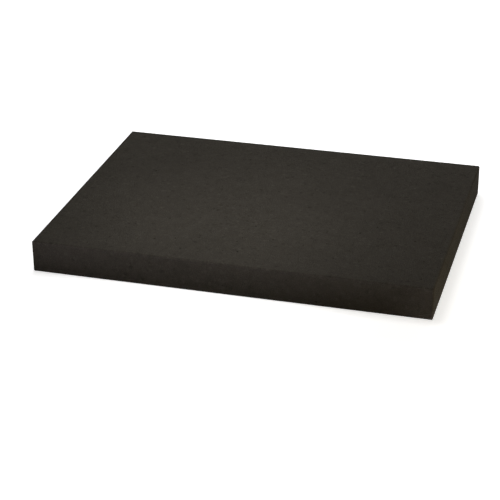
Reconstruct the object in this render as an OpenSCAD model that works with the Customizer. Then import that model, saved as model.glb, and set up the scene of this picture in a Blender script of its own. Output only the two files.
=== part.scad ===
// Cellular glass insulation board: one slab sawn from a block of foamed glass.
// The saw breaks the arrises a little and cuts open the larger cells that lie in its path.
// Millimetres, +Z up, with the origin at the centre of the underside.

/* [Board] */
// Length of the board, along X
board_length = 600; // [300:10:1200]
// Width of the board, along Y
board_width = 450; // [200:10:600]
// Thickness of the board, along Z
board_thickness = 50; // [30:5:200]

/* [Arrises] */
// Width of the broken arris along every sawn edge
arris = 2; // [0.4:0.2:4]

/* [Cut cells] */
// Diameter of the smallest cell that shows as a pit
cell_d_min = 2; // [1.6:0.2:3]
// Diameter of the largest cell
cell_d_max = 4.4; // [3.2:0.2:8]
// Side of the square patch of sawn face that holds at most one large cell
cell_pitch = 30; // [20:1:60]
// Share of the patches that hold a large cell
cell_share = 0.4; // [0.1:0.05:0.9]
// Sound material left between a cell and the arris
cell_margin = 3; // [2:0.5:10]
// Start of the random scatter
cell_seed = 7; // [1:1:99]

/* [Hidden] */
$fn = 24;
foam_colour = "#38352f";
// How far a cell's centre may lie above or below the saw's plane, as a share of its radius
cell_offset_share = 0.55;
// Random numbers that each patch takes: whether it holds a cell, its size, its two places and its height
draws_per_cell = 5;

// Outline of a sawn section with its corners broken at 45 degrees.
module broken_section(size) {
    half = size / 2;
    polygon([
        for (corner = [[1, 1], [-1, 1], [-1, -1], [1, -1]])
            for (first = [true, false])
                let (along_x = first == (corner[0] * corner[1] > 0))
                [
                    corner[0] * (half[0] - (along_x ? 0 : arris)),
                    corner[1] * (half[1] - (along_x ? arris : 0))
                ]
    ]);
}

// The slab, with all twelve arrises broken: what its three sections have in common.
module sawn_slab() {
    translate([0, 0, board_thickness / 2])
        intersection() {
            linear_extrude(board_thickness, center = true)
                broken_section([board_length, board_width]);
            rotate([90, 0, 0])
                linear_extrude(board_width, center = true)
                    broken_section([board_length, board_thickness]);
            rotate([90, 0, 90])
                linear_extrude(board_length, center = true)
                    broken_section([board_width, board_thickness]);
        }
}

// Large cells cut open on a sawn face of this size, which lies in the XY plane with its outside up.
// Each patch of the face holds one cell or none, so no two cells of a face meet.
module cut_cells(face, seed) {
    room = face - [1, 1] * 2 * (arris + cell_margin);
    patches = [for (side = room) max(1, floor(side / cell_pitch))];
    patch = [for (axis = [0, 1]) room[axis] / patches[axis]];
    draws = rands(0, 1, draws_per_cell * patches[0] * patches[1], seed);
    for (column = [0 : patches[0] - 1], row = [0 : patches[1] - 1]) {
        first = draws_per_cell * (column * patches[1] + row);
        present = draws[first] < cell_share;
        radius = (cell_d_min + (cell_d_max - cell_d_min) * pow(draws[first + 1], 2)) / 2;
        cell = [column, row];
        place = [
            for (axis = [0, 1])
                let (spare = max(0, patch[axis] - 2 * radius))
                (cell[axis] + 0.5) * patch[axis] - room[axis] / 2 + (draws[first + 2 + axis] - 0.5) * spare
        ];
        height = radius * cell_offset_share * (2 * draws[first + 4] - 1);
        if (present)
            translate([place[0], place[1], height])
                sphere(radius);
    }
}

// The cut cells of all six faces.
module all_cut_cells() {
    plan = [board_length, board_width];
    translate([0, 0, board_thickness])
        cut_cells(plan, cell_seed);
    rotate([180, 0, 0])
        cut_cells(plan, cell_seed + 1);
    for (side = [0 : 3]) {
        across = side % 2 == 0 ? board_length : board_width;
        out = side % 2 == 0 ? board_width : board_length;
        rotate([0, 0, 90 * side])
            translate([0, -out / 2, board_thickness / 2])
                rotate([90, 0, 0])
                    cut_cells([across, board_thickness], cell_seed + 2 + side);
    }
}

module board() {
    color(foam_colour)
        difference() {
            sawn_slab();
            all_cut_cells();
        }
}

board();
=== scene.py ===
"""Looks of a cellular glass insulation board: a slab of foamed glass, sawn on all faces, on a white floor.

The board's mesh is worked out in millimetres and scaled once at the end. All else is in metres.
"""
import math
import random
from itertools import product
from typing import NamedTuple

import bpy
import numpy as np
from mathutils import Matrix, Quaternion, Vector
from mathutils.geometry import delaunay_2d_cdt


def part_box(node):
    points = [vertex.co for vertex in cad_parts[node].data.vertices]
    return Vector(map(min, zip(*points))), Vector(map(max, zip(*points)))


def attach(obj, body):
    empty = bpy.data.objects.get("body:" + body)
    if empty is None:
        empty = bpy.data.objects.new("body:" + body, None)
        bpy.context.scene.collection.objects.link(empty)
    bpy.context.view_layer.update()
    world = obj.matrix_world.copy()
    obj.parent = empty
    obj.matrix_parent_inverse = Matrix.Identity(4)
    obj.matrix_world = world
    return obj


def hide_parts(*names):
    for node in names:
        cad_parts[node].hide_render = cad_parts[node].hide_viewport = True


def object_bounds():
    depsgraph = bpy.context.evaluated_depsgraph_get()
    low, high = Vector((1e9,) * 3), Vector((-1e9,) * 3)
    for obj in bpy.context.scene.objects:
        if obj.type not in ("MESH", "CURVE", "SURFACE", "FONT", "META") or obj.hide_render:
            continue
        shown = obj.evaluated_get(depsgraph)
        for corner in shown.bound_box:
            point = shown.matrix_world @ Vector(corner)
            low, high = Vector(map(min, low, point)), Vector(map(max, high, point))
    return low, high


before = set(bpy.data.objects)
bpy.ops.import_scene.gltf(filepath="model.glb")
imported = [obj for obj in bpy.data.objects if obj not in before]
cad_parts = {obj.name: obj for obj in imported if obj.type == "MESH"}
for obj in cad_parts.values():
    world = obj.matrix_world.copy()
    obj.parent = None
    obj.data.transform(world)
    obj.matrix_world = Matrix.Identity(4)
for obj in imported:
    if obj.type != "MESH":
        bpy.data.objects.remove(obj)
cad_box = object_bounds()

MM = 0.001
# Square millimetres in a square decimetre
DM2 = 1e4
SEED = 4
# In millimetres: a point this near to a plane lies on it, and two points this near to each other are one
FLUSH = 1e-3
MERGE = 1e-5

# Arrises, in millimetres: spacing of their points, how deep they crumble and how far their borders wander
ARRIS_STEP = 2.0
ARRIS_CRUMBLE = 0.35
ARRIS_WANDER = 0.45
# How far a point strays along its arris, as a share of the spacing
ARRIS_STRAY = 0.3
# The higher this power, the rarer a deep crumble
CRUMBLE_RARITY = 3

# Cut cells, in millimetres: sound glass between two rims, and between a rim and an arris
CELL_GAP = 0.7
CELL_EDGE_GAP = 1.2
# A patch of the solid's surface no larger than this, in millimetres, is a cut cell
LARGEST_CELL = 12.0
# Places that are tried for a scattered cell before it is left out
CELL_TRIES = 30
# Shares of a cell's radius: the depth of a scattered cell, and how far its lowest point lies off centre
CELL_DEPTHS = (0.7, 1.2)
CELL_LEAN = 0.18
# Width of a rim as a share of its length, and how far its points stray as a share of their spacing
RIM_WIDTHS = (0.86, 1.0)
RIM_STRAY = 0.25

# Layout of the baked textures, in millimetres: room round each face's island
ISLAND_MARGIN = 4.0

# Foamed glass: its darkest and lightest tones, linear, and where between them its mean tone lies
GLASS_DARK = (0.0140, 0.0123, 0.0096, 1)
GLASS_LIGHT = (0.0600, 0.0537, 0.0441, 1)
GLASS_TONE = 0.48
GLASS_ROUGHNESS = 0.92
GLASS_SPECULAR = 0.03
# Sizes of its bubbles, of the froth between them and of three scales of mottling
BUBBLE_SIZE = 1.2 * MM
FROTH_SIZE = 0.5 * MM
BROAD_SIZE = 90 * MM
MOTTLE_SIZE = 16 * MM
CLUMP_SIZE = 6 * MM
NOISE_ROUGHNESS = 0.6
# Reach of a bubble's wall, as a share of the bubble's size
WALL_REACH = 0.3
# Dark specks are small pits in the relief with painted shade in them, and light specks are painted glints
# Specks: their spacing, the shares of it over which one fades, and the draws from which one shows
SPECK_PITCH = 9 * MM
SPECK_FADE = (0.10, 0.50)
SPECK_DRAW = (0.75, 0.80)
# Means of the signals that a tone or a height is made of
NOISE_MEAN = 0.5
BOWL_MEAN = 0.2
WALL_MEAN = 0.57

# Light from all round, and the lamps that aren't white
WORLD_FILL = 0.15
COOL_LIGHT = (0.92, 0.88, 1.0)
WARM_LIGHT = (1.0, 0.80, 0.42)

# Floor: its size, how far it lies under the board, and its white as it shows and as it lights the board
FLOOR_SIZE = 12.0
FLOOR_BELOW = 0.1 * MM
FLOOR_SHOWN = (0.9, 0.9, 0.9, 1)
FLOOR_BOUNCE = (0.5, 0.5, 0.5, 1)
# Glow of the floor where it shows: by the board, and further off where the lamps fade, and these distances
FLOOR_GLOW = (0.62, 0.97)
FLOOR_GLOW_REACH = (0.4, 1.1)

# Camera, turned round a point just under the board
CAMERA_TARGET = Vector((-0.02275, -0.0166, -0.0292))
CAMERA_AZIMUTH = math.radians(15.56)
CAMERA_ELEVATION = math.radians(26.20)
CAMERA_ROLL = math.radians(-0.332)
CAMERA_DISTANCE = 2.492
CAMERA_LENS = 114.25
CAMERA_SENSOR = 36.0


class CellKind(NamedTuple):
    """A size of cell: its diameters, how many lie on a square decimetre, and how finely it is drawn."""

    diameters: tuple
    per_dm2: float
    sides: int
    rings: int


class Cell(NamedTuple):
    """One cut cell on a face: its place, its rim's radius, its depth and how finely it is drawn."""

    u: float
    v: float
    radius: float
    depth: float
    sides: int
    rings: int


SMALL_CELLS = CellKind(diameters=(1.0, 1.8), per_dm2=112, sides=6, rings=0)
MEDIUM_CELLS = CellKind(diameters=(1.8, 2.7), per_dm2=28, sides=8, rings=1)
SOLID_CELL_SIDES = 12
SOLID_CELL_RINGS = 2


class SawnFace:
    """One of the six faces: its plane, its two in-plane axes and the flat rectangle inside the arrises."""

    def __init__(self, low, high, axis, side, arris):
        first, second = (axis + 1) % 3, (axis + 2) % 3
        self.axis = axis
        self.u_axis, self.v_axis = (first, second) if side else (second, first)
        self.out = 1 if side else -1
        self.plane = (low, high)[side][axis]
        self.low = np.array([low[self.u_axis], low[self.v_axis]]) + arris
        self.high = np.array([high[self.u_axis], high[self.v_axis]]) - arris
        self.size = self.high - self.low
        self.number = 2 * axis + side
        self.border = []

    def point(self, u, v, depth=0.0):
        place = [0.0, 0.0, 0.0]
        place[self.u_axis] = u
        place[self.v_axis] = v
        place[self.axis] = self.plane - self.out * depth
        return place

    def depth_of(self, points):
        return self.out * (self.plane - points[:, self.axis])

    def area_dm2(self):
        return self.size[0] * self.size[1] / DM2


class BoardMesh:
    """The board's box, arris and faces, and its vertices and triangles as they are added.

    A triangle belongs to one face. A vertex is hollow towards the bottom of a cell and carries painted
    shade on an arris.
    """

    def __init__(self, low, high, arris):
        self.low = low
        self.high = high
        self.arris = arris
        self.faces = {
            (axis, side): SawnFace(low, high, axis, side, arris) for axis in range(3) for side in (0, 1)
        }
        self.points = []
        self.hollow = []
        self.arris_shade = []
        self.triangles = []
        self.owners = []
        self.smooth = []

    def add_point(self, place, hollow=0.0, arris_shade=0.0):
        self.points.append(place)
        self.hollow.append(hollow)
        self.arris_shade.append(arris_shade)
        return len(self.points) - 1

    def add_triangles(self, triangles, face, smooth):
        self.triangles.extend(triangles)
        self.owners.extend([face.number] * len(triangles))
        self.smooth.extend([smooth] * len(triangles))


def solid_surface(node):
    """Vertices of a CAD node in millimetres, and for each a label that its patch of surface shares."""
    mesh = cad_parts[node].data
    mesh.calc_loop_triangles()
    points = np.empty(len(mesh.vertices) * 3)
    mesh.vertices.foreach_get("co", points)
    triangles = np.empty(len(mesh.loop_triangles) * 3, int)
    mesh.loop_triangles.foreach_get("vertices", triangles)
    triangles = triangles.reshape(-1, 3)
    label = np.arange(len(mesh.vertices))
    # The least label of a triangle spreads to its corners, pass by pass, until each patch has one label
    while True:
        least = label.copy()
        for corner in range(3):
            np.minimum.at(least, triangles[:, corner], label[triangles].min(1))
        least = least[least]
        if (least == label).all():
            return points.reshape(-1, 3) / MM, label
        label = least


def solid_cells(face, points, label):
    """The cells that the solid has on this face."""
    cells = []
    flush = np.abs(face.depth_of(points)) < FLUSH
    for patch in np.unique(label[flush]):
        here = label == patch
        extent = np.ptp(points[here], axis=0)
        if extent.max() > LARGEST_CELL:
            continue
        rim = points[here & flush][:, [face.u_axis, face.v_axis]]
        u, v = (rim.min(0) + rim.max(0)) / 2
        radius = np.ptp(rim, axis=0).max() / 2
        cells.append(Cell(u, v, radius, extent[face.axis], SOLID_CELL_SIDES, SOLID_CELL_RINGS))
    return cells


def with_scattered_cells(face, cells, kinds, rng):
    """These cells, and more of each kind dropped at random between them, none touching another."""
    drops = [kind for kind in kinds for _ in range(round(kind.per_dm2 * face.area_dm2()))]
    cells = list(cells)
    placed = np.zeros((len(cells) + len(drops), 3))
    for number, cell in enumerate(cells):
        placed[number] = cell.u, cell.v, cell.radius
    for kind in drops:
        radius = rng.uniform(*kind.diameters) / 2
        room = radius + CELL_EDGE_GAP
        others = placed[:len(cells)]
        for _ in range(CELL_TRIES):
            u, v = [rng.uniform(face.low[k] + room, face.high[k] - room) for k in (0, 1)]
            apart = np.hypot(others[:, 0] - u, others[:, 1] - v) - others[:, 2] - radius
            if (apart > CELL_GAP).all():
                placed[len(cells)] = u, v, radius
                depth = radius * rng.uniform(*CELL_DEPTHS)
                cells.append(Cell(u, v, radius, depth, kind.sides, kind.rings))
                break
    return cells


def band(outer, inner):
    """Triangles between two closed rings of as many points."""
    triangles = []
    for k in range(len(outer)):
        triangles.append((outer[k - 1], outer[k], inner[k]))
        triangles.append((outer[k - 1], inner[k], inner[k - 1]))
    return triangles


def add_cell(board, face, cell, rng):
    """A cut cell's bowl. Its rim lies on an ellipse, so it stays convex. Returns the rim's points."""
    width = rng.uniform(*RIM_WIDTHS)
    turn = rng.uniform(0, math.pi)
    lean = CELL_LEAN * cell.radius
    low_u, low_v = [middle + rng.uniform(-lean, lean) for middle in (cell.u, cell.v)]
    rim = []
    for k in range(cell.sides):
        angle = 2 * math.pi * (k + rng.uniform(-RIM_STRAY, RIM_STRAY)) / cell.sides
        along = cell.radius * math.cos(angle)
        across = cell.radius * width * math.sin(angle)
        u = cell.u + along * math.cos(turn) - across * math.sin(turn)
        v = cell.v + along * math.sin(turn) + across * math.cos(turn)
        rim.append((u, v))
    rings = []
    for number in range(cell.rings + 1):
        slope = math.pi / 2 * number / (cell.rings + 1)
        sunk = math.sin(slope)
        spread = math.cos(slope)
        ring = []
        for u, v in rim:
            place = face.point(
                low_u + (u - low_u) * spread,
                low_v + (v - low_v) * spread,
                cell.depth * sunk,
            )
            ring.append(board.add_point(place, hollow=sunk))
        rings.append(ring)
    lowest = board.add_point(face.point(low_u, low_v, cell.depth), hollow=1.0)
    last = rings[-1]
    bowl = [(last[k - 1], last[k], lowest) for k in range(cell.sides)]
    for outer, inner in zip(rings, rings[1:]):
        bowl += band(outer, inner)
    board.add_triangles(bowl, face, smooth=True)
    return rings[0]


def add_corners(board):
    """Where three arrises meet: each corner's tip, and the corner of the flat on each of its faces."""
    tips = {}
    flats = {}
    for corner in product((0, 1), repeat=3):
        outer = [(board.low, board.high)[side][axis] for axis, side in enumerate(corner)]
        inward = [1 - 2 * side for side in corner]
        tip = [outer[k] + inward[k] * board.arris / 2 for k in range(3)]
        # A corner's tip carries the arrises' painted shade in full
        tips[corner] = board.add_point(tip, arris_shade=1.0)
        for axis in range(3):
            flat = [outer[k] + inward[k] * board.arris * (k != axis) for k in range(3)]
            flats[axis, corner] = board.add_point(flat)
    return tips, flats


def add_arris(board, corners, along, sides, rng):
    """The broken arris along one axis, where the faces on these sides of the other two axes meet.

    Its points lie in three rows: a border on the first face, the middle, and a border on the second face.
    """
    tips, flats = corners
    axes = [(along + 1) % 3, (along + 2) % 3]
    edge = [(board.low, board.high)[side][axis] for axis, side in zip(axes, sides)]
    inward = [1 - 2 * side for side in sides]
    ends = []
    for end in (0, 1):
        corner = [end, end, end]
        corner[axes[0]], corner[axes[1]] = sides
        corner = tuple(corner)
        ends.append((flats[axes[0], corner], tips[corner], flats[axes[1], corner]))
    rows = [[point] for point in ends[0]]
    start = board.low[along] + board.arris
    stop = board.high[along] - board.arris
    steps = round((stop - start) / ARRIS_STEP)
    for k in range(1, steps):
        at = start + (stop - start) * (k + rng.uniform(-ARRIS_STRAY, ARRIS_STRAY)) / steps
        middle = board.arris / 2 + ARRIS_CRUMBLE * rng.random() ** CRUMBLE_RARITY
        border = [board.arris + ARRIS_WANDER * rng.random() for _ in axes]
        depths = ((0, border[0]), (middle, middle), (border[1], 0))
        # The middle row carries the arris's painted shade; the two borders carry none
        for row, depth, arris_shade in zip(rows, depths, (0.0, 1.0, 0.0)):
            place = [at, at, at]
            for axis, outer, inner, deep in zip(axes, edge, inward, depth):
                place[axis] = outer + inner * deep
            row.append(board.add_point(place, arris_shade=arris_shade))
    for row, point in zip(rows, ends[1]):
        row.append(point)
    for half, (axis, side) in enumerate(zip(axes, sides)):
        first, second = rows[half], rows[half + 1]
        if sides[0] != sides[1]:
            first, second = second, first
        strip = []
        for k in range(steps):
            strip.append((first[k], second[k], second[k + 1]))
            strip.append((first[k], second[k + 1], first[k + 1]))
        face = board.faces[axis, side]
        board.add_triangles(strip, face, smooth=True)
        face.border.append(rows[2 * half])


def add_flat(board, face, rims):
    """The flat of a face, inside its arrises and round the rims of its cells."""
    rim_of = {}
    edges = []
    for chain in face.border:
        edges += zip(chain, chain[1:])
        rim_of.update((point, None) for point in chain)
    for number, rim in enumerate(rims):
        edges += zip(rim, rim[1:] + rim[:1])
        rim_of.update((point, number) for point in rim)
    order = list(rim_of)
    position = {point: k for k, point in enumerate(order)}
    places = [Vector((board.points[p][face.u_axis], board.points[p][face.v_axis])) for p in order]
    constraints = [(position[a], position[b]) for a, b in edges]
    inside_only = 1
    found = delaunay_2d_cdt(places, constraints, [], inside_only, MERGE)
    _, _, found_triangles, sources, _, _ = found
    triangles = []
    for corners in found_triangles:
        points = [order[sources[corner][0]] for corner in corners]
        owners = {rim_of[point] for point in points}
        within_a_rim = len(owners) == 1 and None not in owners
        if not within_a_rim:
            triangles.append(points)
    board.add_triangles(triangles, face, smooth=False)


def bake_layout(board):
    """UV of each triangle corner: a flat island for each face, with its cells and its half of each arris.

    The two large faces lie on their long sides, one above the other. The narrow ones stand beside them:
    each long edge by itself, and the two ends one above the other.
    """
    points = np.array(board.points)
    corners = np.array(board.triangles)
    owners = np.repeat(board.owners, 3)
    uv = np.empty((corners.size, 2))
    large_to_small = sorted(board.faces.values(), key=lambda face: -face.area_dm2())
    left = 0.0
    for column in (large_to_small[0:2], large_to_small[2:3], large_to_small[3:4], large_to_small[4:6]):
        base = 0.0
        for face in column:
            large = face.size.min() > face.size.max() / 2
            turned = (face.size[0] > face.size[1]) != large
            size = face.size[::-1] if turned else face.size
            here = owners == face.number
            place = points[corners.ravel()[here]]
            across = place[:, face.u_axis] - face.low[0]
            up = place[:, face.v_axis] - face.low[1]
            if turned:
                across, up = face.size[1] - up, across
            uv[here] = np.stack([across + left, up + base], axis=1) + ISLAND_MARGIN
            base += size[1] + 2 * ISLAND_MARGIN
        left += size[0] + 2 * ISLAND_MARGIN
    return uv / (uv.max() + ISLAND_MARGIN)


def build_board():
    """The board with crumbled arrises, the solid's large cells and smaller ones scattered between them."""
    low, high = [np.array(corner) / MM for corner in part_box("board")]
    points, label = solid_surface("board")
    on_top = points[np.abs(points[:, 2] - high[2]) < FLUSH]
    arris = high[0] - on_top[:, 0].max()
    board = BoardMesh(low, high, arris)
    rng = random.Random(SEED)
    corners = add_corners(board)
    for along in range(3):
        for sides in product((0, 1), repeat=2):
            add_arris(board, corners, along, sides, rng)
    for face in board.faces.values():
        cells = solid_cells(face, points, label)
        cells = with_scattered_cells(face, cells, (MEDIUM_CELLS, SMALL_CELLS), rng)
        rims = [add_cell(board, face, cell, rng) for cell in cells]
        add_flat(board, face, rims)
    mesh = bpy.data.meshes.new("foamed_slab")
    mesh.from_pydata(np.array(board.points) * MM, [], board.triangles)
    mesh.polygons.foreach_set("use_smooth", board.smooth)
    # Depth in a cell and the arrises' painted shade go to the glass as attributes
    for name, values in (("hollow", board.hollow), ("arris_shade", board.arris_shade)):
        mesh.attributes.new(name, "FLOAT", "POINT").data.foreach_set("value", values)
    layout = mesh.uv_layers.new(name="OFBake")
    layout.uv.foreach_set("vector", bake_layout(board).ravel())
    piece = bpy.data.objects.new("foamed_slab", mesh)
    bpy.context.scene.collection.objects.link(piece)
    return piece


class Part(NamedTuple):
    """One part of a total: a signal, its mean, and the weight of how far it lies from that mean."""

    signal: bpy.types.NodeSocket
    mean: float
    weight: float


class Nodes:
    """Adds nodes to a node tree. An input's value is a constant or the socket that feeds it."""

    def __init__(self, tree):
        self.tree = tree
        tree.nodes.clear()

    def add(self, kind, inputs=None, **settings):
        node = self.tree.nodes.new(kind)
        for name, value in settings.items():
            setattr(node, name, value)
        for socket, value in (inputs or {}).items():
            if isinstance(value, bpy.types.NodeSocket):
                self.tree.links.new(value, node.inputs[socket])
            else:
                node.inputs[socket].default_value = value
        return node

    def math(self, operation, *values):
        return self.add("ShaderNodeMath", dict(enumerate(values)), operation=operation).outputs[0]

    def ramp(self, value, start, stop, low=0.0, high=1.0):
        inputs = {"Value": value, "From Min": start, "From Max": stop, "To Min": low, "To Max": high}
        return self.add("ShaderNodeMapRange", inputs, interpolation_type="SMOOTHSTEP").outputs[0]

    def blend(self, share, first, second):
        # The node has sockets for each type of data: these are the ones for colours
        inputs = {0: share, 6: first, 7: second}
        return self.add("ShaderNodeMix", inputs, data_type="RGBA").outputs[2]

    def noise(self, place, size, detail):
        inputs = {"Vector": place, "Scale": 1 / size, "Detail": detail, "Roughness": NOISE_ROUGHNESS}
        return self.add("ShaderNodeTexNoise", inputs).outputs["Fac"]

    def cells(self, place, size, feature="F1"):
        inputs = {"Vector": place, "Scale": 1 / size}
        return self.add("ShaderNodeTexVoronoi", inputs, feature=feature).outputs

    def draws(self, colour):
        """Random numbers of a cell, from its random colour."""
        return self.add("ShaderNodeSeparateColor", {"Color": colour}).outputs

    def attribute(self, name):
        return self.add("ShaderNodeAttribute", attribute_name=name).outputs["Fac"]

    def total(self, start, parts):
        """start, raised or lowered by each part."""
        for signal, mean, weight in parts:
            start = self.math("MULTIPLY_ADD", signal, weight, self.math("ADD", start, -mean * weight))
        return start


def foamed_glass():
    """Dark glass foam cut through its cells: fine bubbles of two sizes in relief, mottled, with specks,
    painted shade and glints.
    """
    material = bpy.data.materials.new("foamed_glass")
    material.use_nodes = True
    nodes = Nodes(material.node_tree)
    place = nodes.add("ShaderNodeTexCoord").outputs["Object"]
    # Depth in the cut cells and the arrises' marks, which the tone below turns into painted shade
    hollow = nodes.attribute("hollow")
    arris_shade = nodes.attribute("arris_shade")
    broad = nodes.noise(place, BROAD_SIZE, detail=3)
    mottle = nodes.noise(place, MOTTLE_SIZE, detail=3)
    clumps = nodes.noise(place, CLUMP_SIZE, detail=1)
    bubbles = nodes.cells(place, BUBBLE_SIZE)
    bubble_draw = nodes.draws(bubbles["Color"])[0]
    bubble_bowl = nodes.math("POWER", bubbles["Distance"], 2)
    wall_distance = nodes.cells(place, BUBBLE_SIZE, "DISTANCE_TO_EDGE")["Distance"]
    walls = nodes.ramp(wall_distance, 0.0, WALL_REACH, low=1, high=0)
    froth_bowl = nodes.math("POWER", nodes.cells(place, FROTH_SIZE)["Distance"], 2)
    specks = nodes.cells(place, SPECK_PITCH)
    speck_draws = nodes.draws(specks["Color"])
    speck = nodes.ramp(specks["Distance"], *SPECK_FADE, low=1, high=0)
    # Painted shade for the small pits that the dark specks sink into the relief, and painted glints for
    # the light specks
    shaded_pit = nodes.math("MULTIPLY", speck, nodes.ramp(speck_draws[0], *SPECK_DRAW))
    painted_glint = nodes.math("MULTIPLY", speck, nodes.ramp(speck_draws[1], *SPECK_DRAW))
    tone = nodes.total(GLASS_TONE, (
        Part(broad, NOISE_MEAN, weight=0.25),
        Part(mottle, NOISE_MEAN, weight=0.25),
        Part(clumps, NOISE_MEAN, weight=0.28),
        Part(bubble_draw, NOISE_MEAN, weight=0.06),
        # Painted shade: bubbles and froth darker towards the bottoms of their bowls. The lighter walls are
        # partly pale glass dust, partly that painted shade
        Part(bubble_bowl, BOWL_MEAN, weight=0.34),
        Part(walls, WALL_MEAN, weight=0.30),
        Part(froth_bowl, BOWL_MEAN, weight=0.16),
        # Painted shade in the speck pits, and painted glints
        Part(shaded_pit, 0.0, weight=-0.16),
        Part(painted_glint, 0.0, weight=0.16),
        # Painted shade: the cut cells' glass darker towards their bottoms
        Part(hollow, 0.0, weight=-0.05),
        # Painted shade: the arrises darker than the flats
        Part(arris_shade, 0.0, weight=-0.12),
    ))
    roughness = nodes.total(GLASS_ROUGHNESS, (
        Part(clumps, NOISE_MEAN, weight=0.15),
        Part(bubble_draw, NOISE_MEAN, weight=0.15),
    ))
    height = nodes.total(0.0, (
        Part(bubble_bowl, BOWL_MEAN, weight=0.9),
        Part(froth_bowl, BOWL_MEAN, weight=0.25),
        Part(clumps, NOISE_MEAN, weight=0.3),
        Part(shaded_pit, 0.0, weight=-0.3),
    ))
    relief = nodes.add("ShaderNodeBump", {"Strength": 1.0, "Distance": MM, "Height": height})
    shader = nodes.add("ShaderNodeBsdfPrincipled", {
        "Base Color": nodes.blend(tone, GLASS_DARK, GLASS_LIGHT),
        "Roughness": roughness,
        "Specular IOR Level": GLASS_SPECULAR,
        "Normal": relief.outputs["Normal"],
    })
    nodes.add("ShaderNodeOutputMaterial", {"Surface": shader.outputs["BSDF"]})
    return material


def seen_directly(nodes):
    """1 for rays that show a backdrop, mirrored or through glass too, and 0 for all that give light."""
    rays = nodes.add("ShaderNodeLightPath").outputs
    mirrored = nodes.math("MAXIMUM", rays["Is Glossy Ray"], rays["Is Transmission Ray"])
    return nodes.math("MAXIMUM", rays["Is Camera Ray"], mirrored)


def build_world():
    """White where it is seen, and a weak light from all round."""
    world = bpy.data.worlds.new("white_room")
    bpy.context.scene.world = world
    world.use_nodes = True
    nodes = Nodes(world.node_tree)
    strength = nodes.math("MULTIPLY_ADD", seen_directly(nodes), 1 - WORLD_FILL, WORLD_FILL)
    background = nodes.add("ShaderNodeBackground", {"Color": (1, 1, 1, 1), "Strength": strength})
    nodes.add("ShaderNodeOutputWorld", {"Surface": background.outputs[0]})


def white_floor():
    """White paint that takes the board's soft shadow. Its glow shows but doesn't light the board."""
    material = bpy.data.materials.new("white_floor")
    material.use_nodes = True
    nodes = Nodes(material.node_tree)
    seen = seen_directly(nodes)
    place = nodes.add("ShaderNodeTexCoord").outputs["Object"]
    far = nodes.add("ShaderNodeVectorMath", {0: place}, operation="LENGTH").outputs["Value"]
    glow = nodes.math("MULTIPLY", seen, nodes.ramp(far, *FLOOR_GLOW_REACH, *FLOOR_GLOW))
    paint = nodes.add("ShaderNodeBsdfDiffuse", {"Color": nodes.blend(seen, FLOOR_BOUNCE, FLOOR_SHOWN)})
    shine = nodes.add("ShaderNodeEmission", {"Strength": glow})
    surface = nodes.add("ShaderNodeAddShader", {0: paint.outputs[0], 1: shine.outputs[0]})
    nodes.add("ShaderNodeOutputMaterial", {"Surface": surface.outputs[0]})
    return material


def build_floor():
    half = FLOOR_SIZE / 2
    height = cad_box[0].z - FLOOR_BELOW
    corners = [(-half, -half), (half, -half), (half, half), (-half, half)]
    mesh = bpy.data.meshes.new("floor")
    mesh.from_pydata([(x, y, height) for x, y in corners], [], [(0, 1, 2, 3)])
    mesh.materials.append(white_floor())
    floor = bpy.data.objects.new("floor", mesh)
    bpy.context.scene.collection.objects.link(floor)


def aim(name, data, place, target, tilt=0.0):
    lamp = bpy.data.objects.new(name, data)
    lamp.location = place
    lamp.rotation_mode = "QUATERNION"
    facing = (Vector(target) - Vector(place)).to_track_quat("-Z", "Y")
    lamp.rotation_quaternion = facing @ Quaternion((0, 0, 1), tilt)
    bpy.context.scene.collection.objects.link(lamp)


def add_softbox(name, place, target, size, watts, colour=(1, 1, 1), spread=math.pi, tilt=0.0):
    data = bpy.data.lights.new(name, "AREA")
    data.shape = "RECTANGLE"
    data.size, data.size_y = size
    data.energy = watts
    data.color = colour
    data.spread = spread
    aim(name, data, place, target, tilt)


def add_soft_spot(name, place, target, spread, radius, watts):
    data = bpy.data.lights.new(name, "SPOT")
    data.spot_size = spread
    data.spot_blend = 1.0
    data.shadow_soft_size = radius
    data.energy = watts
    aim(name, data, place, target)


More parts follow.
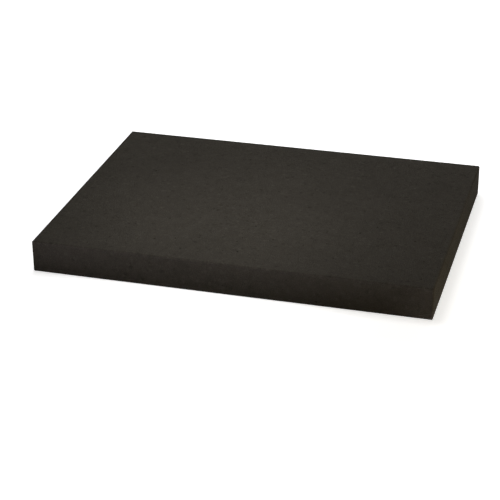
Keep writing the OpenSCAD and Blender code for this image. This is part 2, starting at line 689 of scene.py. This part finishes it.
def build_lamps():
    """Soft light from above and behind, warmer on the right end, with a pool on the near half of the top.

    The lamp in front is a long strip with a narrow beam, centred just above the board, so that the front
    face grows darker downwards. A small lamp with a narrow beam lifts that face by its right corner.
    """
    right, front, top = cad_box[1].x, cad_box[0].y, cad_box[1].z
    add_softbox(
        "top_light", place=(-0.25, 0.10, 1.60), target=(-0.05, 0.00, top), size=(0.8, 0.6), watts=8.0,
    )
    add_softbox(
        "back_light", place=(-0.02, 0.85, 0.60), target=(-0.02, 0.16, top), size=(1.2, 0.4), watts=4.8,
    )
    add_softbox(
        "front_light", place=(-0.06, front - 1.0, 0.08), target=(-0.06, front, 0.08), size=(0.82, 0.02),
        watts=0.172, colour=COOL_LIGHT, spread=math.radians(10), tilt=math.radians(2.6),
    )
    add_softbox(
        "end_light", place=(1.00, -0.45, 0.12), target=(right, -0.15, 0.03), size=(0.4, 0.2),
        watts=2.8, colour=WARM_LIGHT,
    )
    add_softbox(
        "corner_light", place=(right + 0.5, front - 0.9, 0.04), target=(right, front, -0.015),
        size=(0.03, 0.03), watts=0.0105, colour=COOL_LIGHT, spread=math.radians(7),
    )
    add_soft_spot(
        "pool_light", place=(-0.20, -0.50, 1.60), target=(-0.05, -0.12, top),
        spread=math.radians(20), radius=0.12, watts=58.0,
    )


def build_camera():
    data = bpy.data.cameras.new("camera")
    data.lens = CAMERA_LENS
    data.sensor_width = CAMERA_SENSOR
    camera = bpy.data.objects.new("camera", data)
    level = math.cos(CAMERA_ELEVATION)
    back = Vector((
        math.sin(CAMERA_AZIMUTH) * level,
        -math.cos(CAMERA_AZIMUTH) * level,
        math.sin(CAMERA_ELEVATION),
    ))
    camera.location = CAMERA_TARGET + CAMERA_DISTANCE * back
    camera.rotation_mode = "QUATERNION"
    camera.rotation_quaternion = back.to_track_quat("Z", "Y") @ Quaternion((0, 0, 1), CAMERA_ROLL)
    bpy.context.scene.collection.objects.link(camera)
    bpy.context.scene.camera = camera


bpy.context.scene.view_settings.view_transform = "Standard"
build_camera()
build_world()
build_floor()
build_lamps()

slab = build_board()
slab.data.materials.append(foamed_glass())
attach(slab, "root")
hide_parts("board")
